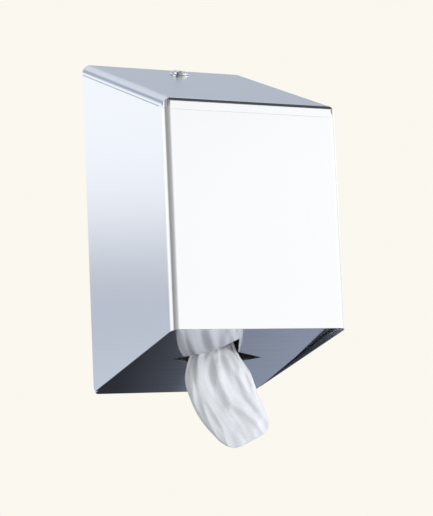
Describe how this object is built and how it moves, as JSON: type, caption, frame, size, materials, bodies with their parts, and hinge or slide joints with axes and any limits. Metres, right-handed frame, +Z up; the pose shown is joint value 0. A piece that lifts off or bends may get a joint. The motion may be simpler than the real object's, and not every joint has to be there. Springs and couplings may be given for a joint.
{
  "type": "centre-pull paper towel dispenser",
  "caption": "Wall-mounted centre-pull paper towel dispenser: folded stainless cover hinged at the rear foot, cam lock on the sloping top, sloping plate with a star outlet, roll and paper tail.",
  "frame": {"origin": "middle of the four wall bolts, on the wall plane", "axes": "+Z up, the front faces -Y, +Y goes into the wall, +X to the right as seen from the front"},
  "size_m": [0.205, 0.2, 0.442],
  "materials": {
    "cover_steel": "fine brushed stainless sheet",
    "body_steel": "mill-finish stainless sheet",
    "bright_steel": "bright-annealed stainless sheet",
    "turned_steel": "turned steel",
    "spring_steel": "blackened spring steel",
    "lock_chrome": "polished chrome plate",
    "zinc_plate": "bright zinc plate",
    "tissue": "soft embossed tissue"
  },
  "bodies": {
    "wall_body": {"back_plate": "body_steel", "outlet_plate": "bright_steel", "roll_shelf": "body_steel", "keeper": "body_steel", "paper_roll": "tissue", "paper_tail": "tissue"},
    "cover": {"cover_shell": "cover_steel", "cover_top": "cover_steel", "hinge_tab_left": "body_steel", "hinge_tab_right": "body_steel", "hinge_pin_left": "turned_steel", "hinge_pin_right": "turned_steel", "pin_clip_left": "spring_steel", "pin_clip_right": "spring_steel", "lock_housing": "lock_chrome", "lock_washer": "zinc_plate", "lock_nut": "zinc_plate"},
    "lock_core": {"lock_plug": "lock_chrome", "lock_cam": "zinc_plate", "cam_washer": "zinc_plate", "cam_screw": "zinc_plate"}
  },
  "joints": [
    {"name": "cover_hinge", "type": "hinge", "parent": "wall_body", "child": "cover", "pos_m": [0, -0.007, -0.193], "axis": [1, 0, 0], "range_deg": [0, 100]},
    {"name": "lock_turn", "type": "hinge", "parent": "cover", "child": "lock_core", "pos_m": [0, -0.03839, 0.1506], "axis": [0, 0.3511, -0.9363], "range_deg": [0, 90]}
  ]
}
